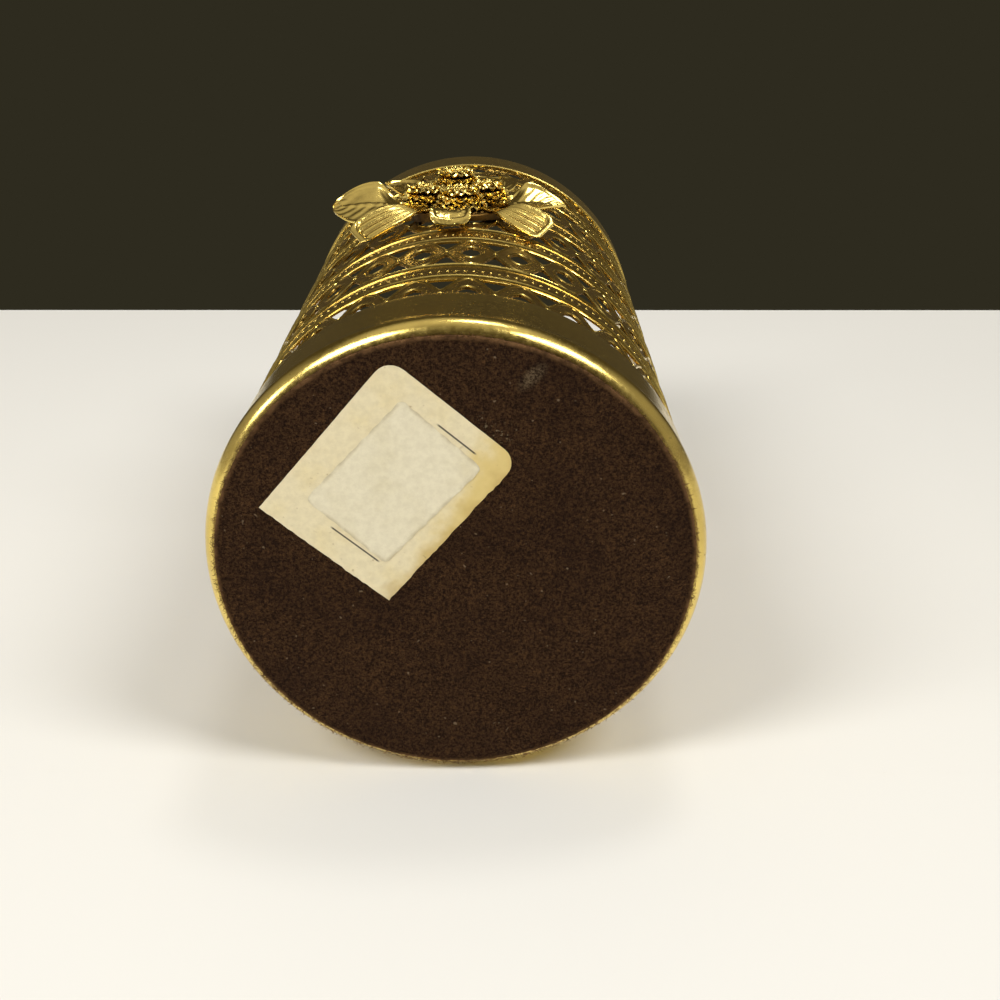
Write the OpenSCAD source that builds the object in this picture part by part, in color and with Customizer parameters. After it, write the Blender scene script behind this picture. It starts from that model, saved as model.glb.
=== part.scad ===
// Pen cup of pierced gilt brass on a felt base, with a spray of leaves and blossoms on its front.
// Millimetres. The cup's axis is +Z, it stands on z = 0, and the spray faces -Y.

/* [Cup] */
// Height from the table to the top of the rim
cup_h = 120; // [110:1:150]
// Outside diameter of the pierced sheet
wall_d = 68.2; // [62:0.2:80]
// Thickness of the pierced sheet
sheet_t = 0.6; // [0.4:0.1:1]
// Gap left where one piece fits round another
fit = 0.05; // [0.02:0.01:0.1]

/* [Base pan] */
// Height of the pan's plain band above the table
pan_h = 15.4; // [12:0.2:20]
// Thickness of the pan's metal
pan_t = 0.45; // [0.3:0.05:0.8]
// Diameter of the half-round bead round the foot
bead_d = 5.2; // [4:0.1:7]
// How far the bead stands out from the band
bead_proud = 0.4; // [0.2:0.05:0.8]

/* [Felt and paper] */
// Thickness of the felt
felt_t = 1.2; // [1:0.1:2]
// How far the felt stands out below the bead
felt_proud = 0.6; // [0.3:0.1:0.9]
// Width of the bead's lip that shows round the felt
lip_w = 1.75; // [1.4:0.05:2.2]
// Long side of the paper label
label_l = 28; // [24:0.5:30]
// Short side of the paper label
label_w = 22.2; // [18:0.2:24]
// Radius of the label's two round corners
label_r = 2.6; // [1:0.1:4]
// Long side of the small sticker
sticker_l = 19.6; // [14:0.2:22]
// Short side of the small sticker
sticker_w = 14.3; // [10:0.1:16]
// Thickness of the paper label
label_t = 0.15; // [0.1:0.01:0.2]
// Thickness of the small sticker
sticker_t = 0.12; // [0.1:0.01:0.2]

/* [Pierced pattern] */
// Height of the first pierced row's lower edge above the table
row_z = 8.9; // [7:0.1:10]
// Height of one pierced row
row_h = 16.2; // [14:0.1:20]
// Height of the plain strip between two rows
strip_h = 6.2; // [5:0.1:9]
// Width of one repeat of the pattern round the wall
repeat_w = 7.65; // [7:0.05:10]
// Turn of the pattern away from the front, in degrees
pattern_turn = 2.7; // [0:0.1:10]
// Width of the eye-shaped openings
eye_w = 3; // [1.5:0.1:3.4]
// Height of the eye-shaped openings
eye_h = 5.2; // [3:0.1:6]
// Width of the three-cornered openings
horn_w = 4.2; // [2.5:0.1:4.6]
// Height of the three-cornered openings
horn_h = 4.8; // [2.5:0.1:5.2]
// Metal left between a three-cornered opening and the ridge beside it
rail_w = 1.5; // [1:0.1:2]
// Radius of the half-round ridges that edge the rows
ridge_r = 0.35; // [0.2:0.05:0.5]
// Width of the butted seam at the back
seam_w = 0.15; // [0.1:0.05:0.3]

/* [Top rim] */
// Height of the smooth hoop at the mouth
rim_h = 10; // [7:0.5:14]
// Thickness of the hoop's metal
rim_t = 0.5; // [0.3:0.05:0.8]
// Height of the hoop's skirt inside the wall
skirt_h = 5; // [3:0.5:6]

/* [Ornament] */
// Plain strip that carries the rivets, counted from the base
rivet_strip = 3; // [2:1:4]
// Sideways place of the ornament's middle
ornament_x = -1.2; // [-4:0.1:4]
// Thickness of the cast pad at its thinnest
pad_t = 1; // [0.8:0.1:1.6]
// Diameter of the rivets
rivet_d = 1.8; // [1.4:0.1:2.2]
// Diameter of the rivets' heads
rivet_head_d = 3; // [2.4:0.1:3.2]
// Thickness of the rivets' heads
rivet_head_t = 0.6; // [0.4:0.1:0.9]
// Thickness of the leaves and petals
leaf_t = 0.7; // [0.5:0.1:0.9]
// Width of a leaf's foot on the pad
foot_w = 1.8; // [1.4:0.1:2]
// Width of a blossom
blossom_w = 7; // [6:0.1:9]
// Gap between neighbouring blossoms
blossom_gap = 0.25; // [0.1:0.05:0.6]
// How far a blossom's rim rises above its middle
blossom_cup = 1.1; // [0.6:0.1:1.6]
// Diameter of the collar that carries a blossom
collar_d = 2.6; // [2.2:0.1:2.8]
// Diameter of the pin through a blossom
pin_d = 1.6; // [1.2:0.1:1.8]
// Radius of a blossom's domed middle
middle_r = 1.4; // [1.1:0.1:1.7]
// Radius of the bead round a blossom's middle
middle_bead_r = 0.55; // [0.4:0.05:0.7]
// Length of the large left leaf
leaf_left_l = 16.2; // [12:0.2:20]
// Width of the large left leaf
leaf_left_w = 9; // [6:0.2:10]
// Length of the smooth right leaf
leaf_right_l = 12.6; // [9:0.2:15]
// Width of the smooth right leaf
leaf_right_w = 7.4; // [5:0.2:8]
// Length of the small pointed leaf behind it
leaf_tip_l = 12.6; // [9:0.2:15]
// Width of the small pointed leaf behind it
leaf_tip_w = 3.4; // [2.6:0.2:3.8]
// Length of the leaves towards the mouth
leaf_top_l = 12; // [8:0.2:15]
// Width of the leaves towards the mouth
leaf_top_w = 5.6; // [4:0.2:6.4]
// Length of the left ribbed leaf
ribbed_left_l = 15.2; // [11:0.2:17]
// Length of the right ribbed leaf
ribbed_right_l = 13.4; // [10:0.2:16]
// Width of the ribbed leaves
ribbed_w = 5.2; // [4:0.2:6.4]
// Length of the blunt petal that points at the base
tag_l = 9.6; // [7:0.2:12]
// Width of the blunt petal that points at the base
tag_w = 6.2; // [4:0.2:6.6]

/* [Hidden] */
$fn = 96;

gilt = [0.78, 0.63, 0.27];
felt_brown = [0.2, 0.13, 0.08];
cream = [0.84, 0.78, 0.6];
paper_white = [0.9, 0.88, 0.8];

// A cut runs this far past the faces that it goes through
over = 1;

// The pan: the sheet stands on its floor, inside its band
wall_r = wall_d / 2;
inner_r = wall_r - sheet_t;
pan_in_r = wall_r + fit;
pan_out_r = pan_in_r + pan_t;
bead_r = bead_d / 2;
bead_out_r = pan_out_r + bead_proud;
floor_z = felt_t + pan_t;
felt_r = bead_out_r - lip_w - fit;

// The paper: pressed into the felt, so that the felt is still the lowest face
press = 0.03;
pocket_h = label_t + sticker_t + press;
label_at = [-8.8, -12.6];
label_turn = -49.5;
sticker_at = [-8.1, -12.7];
sticker_turn = -46.8;
corner_steps = 6;

// The pattern: rows with plain strips between them, as many as the height takes
row_step = row_h + strip_h;
rim_z = cup_h - rim_h;
rows = ceil((rim_z - row_z) / row_step);
repeats = round(PI * wall_d / repeat_w);
repeat_turn = 360 / repeats;
curve_steps = 3;
eye_outline = [
    for (side = [1, -1], i = [0 : curve_steps - 1])
        let (v = side * (1 - 2 * i / curve_steps))
        [side * eye_w / 2 * (1 - v * v), v * eye_h / 2]
];
horn_steps = 2;
horn_curve = 0.8;
horn_outline = [
    for (i = [-horn_steps : horn_steps])
        let (s = 1 - abs(i) / horn_steps)
        [sign(i) * horn_w / 2 * pow(1 - s, horn_curve), -s * horn_h]
];
seam_turn = 180 + pattern_turn + repeat_turn * (floor(repeats / 2) - repeats / 2 + 0.5);

// The rim: a hoop of inverted U section, round on top
hoop_in_r = inner_r - fit - rim_t;
hoop_out_r = wall_r + fit + rim_t;
roll_r = (hoop_out_r - hoop_in_r) / 2;
sheet_top = cup_h - roll_r;

// The ornament: a pad that sits on the ridges, with its flat front at pad_front
seat_r = wall_r + ridge_r + fit;
pad_front = seat_r + pad_t;
pitch = blossom_w + blossom_gap;
pad_spread = [1.16, 1.2] * pitch;
pad_depth = 9;
ellipse_steps = 48;
rivet_spread = [0.51, 0.83] * pitch;
rivet_z = row_z + rivet_strip * row_step - strip_h / 2;
ornament_z = rivet_z - rivet_spread[1];
rivet_xs = [ornament_x - rivet_spread[0], ornament_x + rivet_spread[0]];

// Where each piece stands on the pad, in blossom pitches from its middle, and which way a leaf points
leaf_left_at = [-0.8, -0.48];
leaf_left_turn = 173;
ribbed_left_at = [-0.56, -0.66];
ribbed_left_turn = 213;
tag_at = [-0.12, -0.88];
tag_turn = 270;
ribbed_right_at = [0.6, -0.66];
ribbed_right_turn = -37;
leaf_right_at = [0.8, -0.27];
leaf_right_turn = 0;
leaf_tip_at = [0.88, 0.42];
leaf_tip_turn = -5;
leaf_top_right_at = [0.88, 0.6];
leaf_top_right_turn = 84;
leaf_top_left_at = [-0.76, 0.4];
leaf_top_left_turn = 134;
blossom_a_at = [-0.81, 0.04];
blossom_b_at = [0.06, -0.49];
blossom_c_at = [0.65, 0.3];
blossom_d_at = [-0.07, 0.75];

// How each leaf is bent: slopes across it, the height that its tip gains or loses, and the rise of its middle
leaf_left_roll = -0.48;
leaf_left_droop = 0.8;
leaf_right_fold = 0.3;
leaf_right_roll = 0.3;
leaf_right_droop = 0.3;
leaf_tip_fold = 0.2;
leaf_tip_droop = 1.4;
leaf_top_fold = 0.35;
leaf_top_lift = 0.8;
ribbed_left_roll = -0.3;
ribbed_left_droop = 3.4;
ribbed_right_roll = 0.36;
ribbed_right_droop = 2.5;
tag_fold = 0.1;
tag_droop = 0.8;
tag_arch = 1.4;

// How high each blossom stands on its collar, and how its petals are cut and ruffled
stem_a = 1.5;
stem_b = 1.9;
stem_c = 1.7;
stem_d = 3.3;
petals = 5;
notch = 0.24;
lobe_curve = 0.6;
ruffle = 0.22;
petal_steps = 8;
rim_rings = 3;
collar_land = 0.3;

// A leaf: its flat foot ends past the pad's edge, then it bends within the first share of its length
foot_l = 0.4 * pitch;
leaf_left_foot = 0.63 * pitch;
leaf_right_foot = 0.33 * pitch;
bend_share = 0.4;
tip_w = 0.3;
leaf_curve = 0.75;
broad_curve = 0.9;
broad_edge = 0.65;
blunt_curve = 0.6;
blunt_from = 0.85;
blunt_taper = 0.3;
lift_curve = 1.5;

// A leaf's grid: steps along it, steps across it, and steps across for each rib
blade_steps = 11;
across_steps = 8;
ribs = 4;
rib_steps = 4;
rib_h = 0.22;

// Two triangles of a grid cell whose corners run a, b, c, d
function cell(a, b, c, d) = [[a, d, c], [a, c, b]];

// Faces of a sheet: lines of cols points on top, then as many below. A wrapped sheet closes on itself.
function sheet_faces(lines, cols, wrap) =
    let (
        low = lines * cols,
        last = wrap ? cols - 1 : cols - 2,
        at = function (i, j) i * cols + j % cols
    )
    concat(
        [for (i = [0 : lines - 2], j = [0 : last])
            each cell(at(i, j), at(i + 1, j), at(i + 1, j + 1), at(i, j + 1))],
        [for (i = [0 : lines - 2], j = [0 : last])
            each cell(low + at(i, j), low + at(i, j + 1), low + at(i + 1, j + 1), low + at(i + 1, j))],
        [for (j = [0 : last])
            each cell(low + at(0, j), at(0, j), at(0, j + 1), low + at(0, j + 1))],
        [for (j = [0 : last], k = [lines - 1])
            each cell(low + at(k, j), low + at(k, j + 1), at(k, j + 1), at(k, j))],
        wrap ? [] : [for (i = [0 : lines - 2])
            each cell(low + at(i, 0), low + at(i + 1, 0), at(i + 1, 0), at(i, 0))],
        wrap ? [] : [for (i = [0 : lines - 2], k = [cols - 1])
            each cell(low + at(i, k), at(i, k), at(i + 1, k), low + at(i + 1, k))]
    );

// A closed sheet of metal, leaf_t thick, over a grid of points of its underside
module metal_sheet(grid, wrap) {
    under = [for (row = grid) each row];
    top = [for (p = under) p + [0, 0, leaf_t]];
    polyhedron(concat(top, under), sheet_faces(len(grid), len(grid[0]), wrap));
}

// Share of its bend that a blade has reached at share u of its length
function ease(u) = let (v = min(1, u / bend_share)) v * v * (3 - 2 * v);

// Half the width of a blade at share u of its length. A blunt blade keeps a wide end, a broad one is full.
function blade_half(u, width, form) =
    let (
        end = max(0, (u - blunt_from) / (1 - blunt_from)),
        bulge = form == "blunt"
            ? sin(90 * pow(u, blunt_curve)) * (1 - blunt_taper * end * end)
            : form == "broad"
            ? pow(max(0, sin(180 * pow(u, broad_curve))), broad_edge)
            : sin(180 * pow(u, leaf_curve))
    )
    foot_w / 2 * (1 - u) + width / 2 * bulge + tip_w / 2 * u;

// A leaf or petal along +X from its foot: slopes across it (fold, roll) and heights (lift, droop, arch)
module blade(length, width, form = "pointed", fold = 0, roll = 0, lift = 0, droop = 0, arch = 0,
    foot = foot_l, ribbed = false) {
    across = ribbed ? ribs * rib_steps : across_steps;
    grid = [
        for (i = [0 : blade_steps])
            let (
                u = max(0, i - 1) / (blade_steps - 1),
                half = blade_half(u, width, form),
                x = i == 0 ? 0 : foot + (length - foot) * u
            )
            [
                for (j = [0 : across])
                    let (
                        t = 2 * j / across - 1,
                        wave = ribbed ? rib_h * (1 + cos(360 * ribs * j / across)) : 0
                    )
                    [x, half * t, ease(u) * (half * (fold * abs(t) + roll * t) + wave)
                        + lift * pow(u, lift_curve) - droop * u * u + 4 * arch * u * (1 - u)]
            ]
    ];
    metal_sheet(grid, false);
}

// A whorl of petals with a hole for its pin, seated on a collar of height stem
module whorl(stem) {
    steps = petals * petal_steps;
    hole_r = pin_d / 2 + fit;
    flat_r = collar_d / 2 + collar_land;
    grid = [
        for (i = [-1 : rim_rings])
            let (v = max(0, i) / rim_rings)
            [
                for (j = [0 : steps - 1])
                    let (
                        a = 360 * j / steps,
                        lobe = 1 - notch * (1 - pow(abs(cos(petals * a / 2)), lobe_curve)),
                        r = i < 0 ? hole_r : flat_r + (blossom_w / 2 * lobe - flat_r) * v
                    )
                    [r * cos(a), r * sin(a), stem + v * v * (blossom_cup + ruffle * cos(2 * petals * a))]
            ]
    ];
    metal_sheet(grid, true);
}

// A pin with a collar below the whorl, and a dome with a bead round it on top
module beaded_pin(stem) {
    seat = stem + leaf_t;
    rotate_extrude() {
        square([collar_d / 2, stem]);
        square([pin_d / 2, seat + middle_bead_r]);
        translate([0, seat])
            intersection() {
                circle(middle_r);
                square(middle_r);
            }
        translate([middle_r, seat + middle_bead_r]) circle(middle_bead_r, $fn = 32);
    }
}

// Puts a child on the pad: local X is the cup's X, local Y is up the cup, and local Z points away from it
module on_pad(at, turn = 0)
    translate([ornament_x + at[0] * pitch, -pad_front, ornament_z + at[1] * pitch])
        rotate([90, 0, 0]) rotate(turn) children();

// Points of a rectangle whose corners have the radii given, from the lower left round to the upper left
function sheet_outline(l, w, radii) = [
    for (k = [0 : 3])
        let (
            r = radii[k],
            sx = k == 0 || k == 3 ? -1 : 1,
            sy = k < 2 ? -1 : 1
        )
        for (i = [0 : r > 0 ? corner_steps : 0])
            let (a = 180 + 90 * k + 90 * i / corner_steps)
            [sx * (l / 2 - r) + r * cos(a), sy * (w / 2 - r) + r * sin(a)]
];

module label_plan(grow)
    translate(label_at) rotate(label_turn)
        polygon(sheet_outline(label_l + 2 * grow, label_w + 2 * grow, [0, label_r, label_r, 0]));

// A cutter through the front of the wall, turned round to its repeat
module pierce(outline, turn, z)
    rotate(pattern_turn + turn) translate([0, 0, z]) rotate([90, 0, 0])
        translate([0, 0, inner_r - over]) linear_extrude(sheet_t + 2 * over) polygon(outline);

module base_pan() color(gilt) rotate_extrude() {
    difference() {
        translate([bead_out_r - bead_r, felt_proud + bead_r]) circle(bead_r);
        translate([0, floor_z]) square([pan_in_r, pan_h]);
        square([felt_r + fit, felt_t]);
    }
    translate([pan_in_r, felt_proud + bead_r]) square([pan_t, pan_h - felt_proud - bead_r]);
    translate([0, felt_t]) square([pan_in_r, pan_t]);
}

module felt_pad() color(felt_brown) difference() {
    cylinder(r = felt_r, h = felt_t);
    translate([0, 0, -over]) linear_extrude(pocket_h + over) label_plan(fit);
}

module paper_label() color(cream)
    translate([0, 0, pocket_h - label_t]) linear_extrude(label_t) label_plan(0);

module price_sticker() color(paper_white)
    translate([0, 0, press]) linear_extrude(sticker_t)
        translate(sticker_at) rotate(sticker_turn) square([sticker_l, sticker_w], center = true);

module filigree_wall() color(gilt) difference() {
    rotate_extrude() {
        translate([inner_r, floor_z]) square([sheet_t, sheet_top - floor_z]);
        for (row = [0 : rows], z = [row_z + row * row_step, row_z + row * row_step + row_h])
            if (z > pan_h + ridge_r + fit && z < rim_z - ridge_r - fit)
                translate([wall_r, z]) circle(ridge_r, $fn = 24);
    }
    for (row = [0 : rows - 1], i = [0 : repeats - 1]) {
        low = row_z + row * row_step;
        eye_z = low + row_h / 2;
        if (eye_z + eye_h / 4 > pan_h && eye_z - eye_h / 4 < rim_z)
            pierce(eye_outline, i * repeat_turn, eye_z);
        if (low + rail_w + horn_h / 2 > pan_h && low + rail_w + horn_h / 2 < rim_z)
            pierce([for (p = horn_outline) [p[0], -p[1]]], (i + 0.5) * repeat_turn, low + rail_w);
        if (low + row_h - rail_w - horn_h / 2 < rim_z)
            pierce(horn_outline, (i + 0.5) * repeat_turn, low + row_h - rail_w);
    }
    for (x = rivet_xs)
        translate([x, 0, rivet_z]) rotate([90, 0, 0]) cylinder(d = rivet_d + 2 * fit, h = wall_d);
    rotate(seam_turn) translate([-seam_w / 2, -wall_r - over, 0])
        cube([seam_w, sheet_t + 2 * over, cup_h]);
}

module top_rim() color(gilt) rotate_extrude() difference() {
    union() {
        translate([hoop_in_r + roll_r, sheet_top]) circle(roll_r);
        translate([wall_r + fit, rim_z]) square([rim_t, sheet_top - rim_z]);
        translate([hoop_in_r, sheet_top - skirt_h]) square([rim_t, skirt_h]);
    }
    translate([inner_r - fit, 0]) square([sheet_t + 2 * fit, sheet_top]);
}

module ornament_plate() color(gilt) difference() {
    on_pad([0, 0]) translate([0, 0, -pad_depth]) linear_extrude(pad_depth)
        polygon([
            for (i = [0 : ellipse_steps - 1])
                let (a = 360 * i / ellipse_steps)
                [pad_spread[0] * cos(a), pad_spread[1] * sin(a)]
        ]);
    cylinder(r = seat_r, h = cup_h);
    for (x = rivet_xs)
        translate([x, 0, rivet_z]) rotate([90, 0, 0]) cylinder(d = rivet_d + 2 * fit, h = wall_d);
}

module ornament_rivets() color(gilt) for (x = rivet_xs) {
    inside = sqrt(pow(inner_r, 2) - pow(abs(x) + rivet_head_d / 2, 2)) - rivet_head_t;
    translate([x, 0, rivet_z]) rotate([90, 0, 0]) {
        translate([0, 0, inside + rivet_head_t / 2]) cylinder(d = rivet_d, h = pad_front - inside);
        translate([0, 0, pad_front]) cylinder(d = rivet_head_d, h = rivet_head_t);
    }
    intersection() {
        translate([x, -inside, rivet_z]) rotate([90, 0, 0]) cylinder(d = rivet_head_d, h = wall_r);
        cylinder(r = inner_r - fit, h = cup_h);
    }
}

module leaf_left() color(gilt) on_pad(leaf_left_at, leaf_left_turn)
    blade(leaf_left_l, leaf_left_w, form = "broad", roll = leaf_left_roll, droop = leaf_left_droop,
        foot = leaf_left_foot);

module leaf_right() color(gilt) on_pad(leaf_right_at, leaf_right_turn)
    blade(leaf_right_l, leaf_right_w, fold = leaf_right_fold, roll = leaf_right_roll,
        droop = leaf_right_droop, foot = leaf_right_foot);

module leaf_right_tip() color(gilt) on_pad(leaf_tip_at, leaf_tip_turn)
    blade(leaf_tip_l, leaf_tip_w, fold = leaf_tip_fold, droop = leaf_tip_droop);

module leaf_top_left() color(gilt) on_pad(leaf_top_left_at, leaf_top_left_turn)
    blade(leaf_top_l, leaf_top_w, fold = leaf_top_fold, lift = leaf_top_lift);

module leaf_top_right() color(gilt) on_pad(leaf_top_right_at, leaf_top_right_turn)
    blade(leaf_top_l, leaf_top_w, fold = leaf_top_fold, lift = leaf_top_lift);

module ribbed_leaf_left() color(gilt) on_pad(ribbed_left_at, ribbed_left_turn)
    blade(ribbed_left_l, ribbed_w, form = "blunt", ribbed = true, roll = ribbed_left_roll,
        droop = ribbed_left_droop);

module ribbed_leaf_right() color(gilt) on_pad(ribbed_right_at, ribbed_right_turn)
    blade(ribbed_right_l, ribbed_w, form = "blunt", ribbed = true, roll = ribbed_right_roll,
        droop = ribbed_right_droop);

module tag_petal() color(gilt) on_pad(tag_at, tag_turn)
    blade(tag_l, tag_w, form = "blunt", fold = tag_fold, droop = tag_droop, arch = tag_arch);

module blossom_a() color(gilt) on_pad(blossom_a_at) whorl(stem_a);

module blossom_b() color(gilt) on_pad(blossom_b_at) whorl(stem_b);

module blossom_c() color(gilt) on_pad(blossom_c_at) whorl(stem_c);

module blossom_d() color(gilt) on_pad(blossom_d_at) whorl(stem_d);

module blossom_centre_a() color(gilt) on_pad(blossom_a_at) beaded_pin(stem_a);

module blossom_centre_b() color(gilt) on_pad(blossom_b_at) beaded_pin(stem_b);

module blossom_centre_c() color(gilt) on_pad(blossom_c_at) beaded_pin(stem_c);

module blossom_centre_d() color(gilt) on_pad(blossom_d_at) beaded_pin(stem_d);

base_pan();
felt_pad();
paper_label();
price_sticker();
filigree_wall();
top_rim();
ornament_plate();
ornament_rivets();
leaf_left();
leaf_right();
leaf_right_tip();
leaf_top_left();
leaf_top_right();
ribbed_leaf_left();
ribbed_leaf_right();
tag_petal();
blossom_a();
blossom_b();
blossom_c();
blossom_d();
blossom_centre_a();
blossom_centre_b();
blossom_centre_c();
blossom_centre_d();
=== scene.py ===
import math
import random

import bmesh
import bpy
from mathutils import Matrix, Vector, noise
from mathutils.bvhtree import BVHTree


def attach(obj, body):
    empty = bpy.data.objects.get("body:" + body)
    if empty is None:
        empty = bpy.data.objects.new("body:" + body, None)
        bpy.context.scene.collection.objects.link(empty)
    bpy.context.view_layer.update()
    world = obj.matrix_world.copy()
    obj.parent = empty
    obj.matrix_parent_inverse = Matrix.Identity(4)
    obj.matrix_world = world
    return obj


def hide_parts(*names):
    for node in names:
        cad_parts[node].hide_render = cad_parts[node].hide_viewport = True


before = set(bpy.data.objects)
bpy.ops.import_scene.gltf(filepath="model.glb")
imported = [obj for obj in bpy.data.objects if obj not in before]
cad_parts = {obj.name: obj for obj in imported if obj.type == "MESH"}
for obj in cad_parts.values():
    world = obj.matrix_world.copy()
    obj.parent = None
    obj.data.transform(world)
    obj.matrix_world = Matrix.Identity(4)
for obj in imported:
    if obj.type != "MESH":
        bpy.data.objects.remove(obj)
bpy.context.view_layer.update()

# Base pan
# A pan drawn from thin brass sheet and gilded: a flat floor, a half-round bead rolled round the foot, and a plain
# band that stands up round the pierced wall. The band's cut top edge is rounded over.
mm = 0.001


def linear(*rgb):
    """A colour written in screen values from 0 to 255, as the shaders take it."""
    return [c / 255 / 12.92 if c <= 10 else ((c / 255 + 0.055) / 1.055) ** 2.4 for c in rgb] + [1.0]


def new_group(name, inputs, outputs):
    tree = bpy.data.node_groups.new(name, "ShaderNodeTree")
    for side, sockets in (("INPUT", inputs), ("OUTPUT", outputs)):
        for socket, kind in sockets:
            tree.interface.new_socket(socket, in_out=side, socket_type="NodeSocket" + kind)
    return tree, tree.nodes.new("NodeGroupInput").outputs, tree.nodes.new("NodeGroupOutput").inputs


def add(tree, kind, links=(), **values):
    """A node with its inputs linked or set by name or number, and its own settings."""
    made = tree.nodes.new("ShaderNode" + kind)
    for key, value in values.items():
        setattr(made, key, value)
    for socket, value in links:
        if isinstance(value, bpy.types.NodeSocket):
            tree.links.new(value, made.inputs[socket])
        else:
            made.inputs[socket].default_value = value
    return made


def math_node(tree, operation, *values):
    return add(tree, "Math", list(enumerate(values)), operation=operation).outputs[0]


def spread(tree, value, low, high, to_low=0.0, to_high=1.0):
    """value taken from low..high to to_low..to_high, with soft ends."""
    return add(tree, "MapRange", [(0, value), (1, low), (2, high), (3, to_low), (4, to_high)],
               interpolation_type="SMOOTHSTEP").outputs[0]


def blend_colour(tree, share, a, b):
    """From colour a to colour b, by a share from 0 to 1."""
    return add(tree, "Mix", [(0, share), (6, a), (7, b)], data_type="RGBA").outputs[2]


def grain(tree, coord, scale, detail=2.0, rough=0.5):
    links = [("Vector", coord), ("Scale", scale), ("Detail", detail), ("Roughness", rough)]
    return add(tree, "TexNoise", links).outputs[0]


# Gilt over brass: cloudy tarnish, fine specks where the gilding is thin, and a darkening towards the tarnish that an
# attribute of a piece brings, mostly tarnish and painted shade in hollows
cloud_scale, speck_scale, fine_scale = 85, 1300, 5200
wear, given, out = new_group(
    "gilt_wear",
    [("Gilt", "Color"), ("Tarnish", "Color"), ("Cover", "Float"), ("Darkening", "Float"), ("Rough", "Float")],
    [("Color", "Color"), ("Roughness", "Float"), ("Height", "Float")])
place = add(wear, "TexCoord").outputs["Object"]
cloud = spread(wear, grain(wear, place, cloud_scale, 4, 0.6), 0.4, 0.72)
speck = grain(wear, place, speck_scale, 3, 0.6)
fine = grain(wear, place, fine_scale, 1)
dull = math_node(wear, "MULTIPLY", cloud, given["Cover"])
dull = add(wear, "Math", [(0, dull), (1, given["Darkening"])], operation="ADD", use_clamp=True).outputs[0]
tone = blend_colour(wear, dull, given["Gilt"], given["Tarnish"])
wear.links.new(blend_colour(wear, spread(wear, speck, 0.62, 0.8, 0, 0.55), tone, given["Tarnish"]), out["Color"])
rub = spread(wear, speck, 0.3, 0.75, -0.035, 0.06)
rub = math_node(wear, "ADD", rub, math_node(wear, "MULTIPLY", dull, 0.16))
wear.links.new(math_node(wear, "ADD", given["Rough"], rub), out["Roughness"])
wear.links.new(math_node(wear, "ADD", math_node(wear, "MULTIPLY", fine, 0.25), speck), out["Height"])


def gilt(name, gold, tarnish, cover, rough, bump, darkening=False):
    """Gilt brass with its own tarnish, towards which an attribute of a piece darkens it: tarnish and painted shade in
    its recesses.
    """
    mat = bpy.data.materials.new(name)
    mat.use_nodes = True
    tree = mat.node_tree
    shader = tree.nodes["Principled BSDF"]
    worn = add(tree, "Group", node_tree=wear)
    for socket, value in (("Gilt", gold), ("Tarnish", tarnish), ("Cover", cover), ("Rough", rough)):
        worn.inputs[socket].default_value = value
    if darkening:
        shut = spread(tree, add(tree, "Attribute", attribute_name="darkening").outputs["Fac"], 0.3, 0.95, 0, 0.7)
        tree.links.new(shut, worn.inputs["Darkening"])
    shader.inputs["Metallic"].default_value = 1
    tree.links.new(worn.outputs["Color"], shader.inputs["Base Color"])
    tree.links.new(worn.outputs["Roughness"], shader.inputs["Roughness"])
    dent = add(tree, "Bump", [("Height", worn.outputs["Height"]), ("Strength", bump), ("Distance", 0.06 * mm)])
    tree.links.new(dent.outputs[0], shader.inputs["Normal"])
    return mat


def turned(outline, steps, closed=False):
    """A solid of revolution from points (radius, height) in millimetres."""
    bm = bmesh.new()
    line = [bm.verts.new((r * mm, 0, z * mm)) for r, z in outline]
    edges = [bm.edges.new(pair) for pair in zip(line, line[1:] + line[:1] * closed)]
    bmesh.ops.spin(bm, geom=line + edges, axis=(0, 0, 1), angle=math.tau, steps=steps, use_merge=True)
    bmesh.ops.remove_doubles(bm, verts=bm.verts, dist=1e-7)
    bmesh.ops.recalc_face_normals(bm, faces=bm.faces)
    return bm


def arc(middle, radius, start, end, steps):
    """Points of a round bend in an outline, from one angle to another."""
    turns = [math.radians(start + (end - start) * i / steps) for i in range(steps + 1)]
    return [(middle[0] + radius * math.cos(a), middle[1] + radius * math.sin(a)) for a in turns]


def piece(bm, name, finish, slot, *nodes, sharp=40):
    """Makes a bmesh a piece of the cup that stands for the given nodes."""
    mesh = bpy.data.meshes.new(name)
    bm.to_mesh(mesh)
    bm.free()
    mesh.materials.append(finish)
    mesh.shade_smooth()
    mesh.set_sharp_from_angle(angle=math.radians(sharp))
    obj = bpy.data.objects.new(name, mesh)
    bpy.context.scene.collection.objects.link(obj)
    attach(obj, "root")
    if nodes:
        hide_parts(*nodes)
    return obj


def soft(x, low, high):
    """0 up to low, 1 from high on, with soft ends between them."""
    x = min(1, max(0, (x - low) / (high - low)))
    return x * x * (3 - 2 * x)


gold = linear(235, 208, 118)
brown = linear(110, 82, 34)
pan_gilt = gilt("gilt_pan", gold, brown, 0.35, 0.19, 0.12, darkening=True)
floor_low, floor_top, seat_r = 1.2, 1.65, 33.25
band_in, band_out, pan_top = 34.15, 34.6, 15.4
bead_mid, bead_r, bead_low, bead_dent = (32.4, 3.2), 2.6, 0.743, 0.008
edge_r = (band_out - band_in) / 2
bead_foot_dark = 0.8
pan_line = [(0, floor_low), (seat_r, floor_low), (seat_r, bead_low)]
pan_line += arc(bead_mid, bead_r, -70.9, 32.2, 26)
pan_line += [(band_out, z) for z in (6, 8, 10, 12, 14)]
pan_line += arc((band_out - edge_r, pan_top - edge_r), edge_r, 0, 180, 8)
pan_line += [(band_in, floor_top), (0, floor_top)]
pan = turned(pan_line, 320)
for v in pan.verts:
    rolled = soft(v.co.xy.length / mm, 33.2, 34) * (1 - soft(v.co.z / mm, 4, 5))
    v.co += v.normal * mm * rolled * bead_dent * (noise.noise(v.co * 220) - 1)
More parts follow.
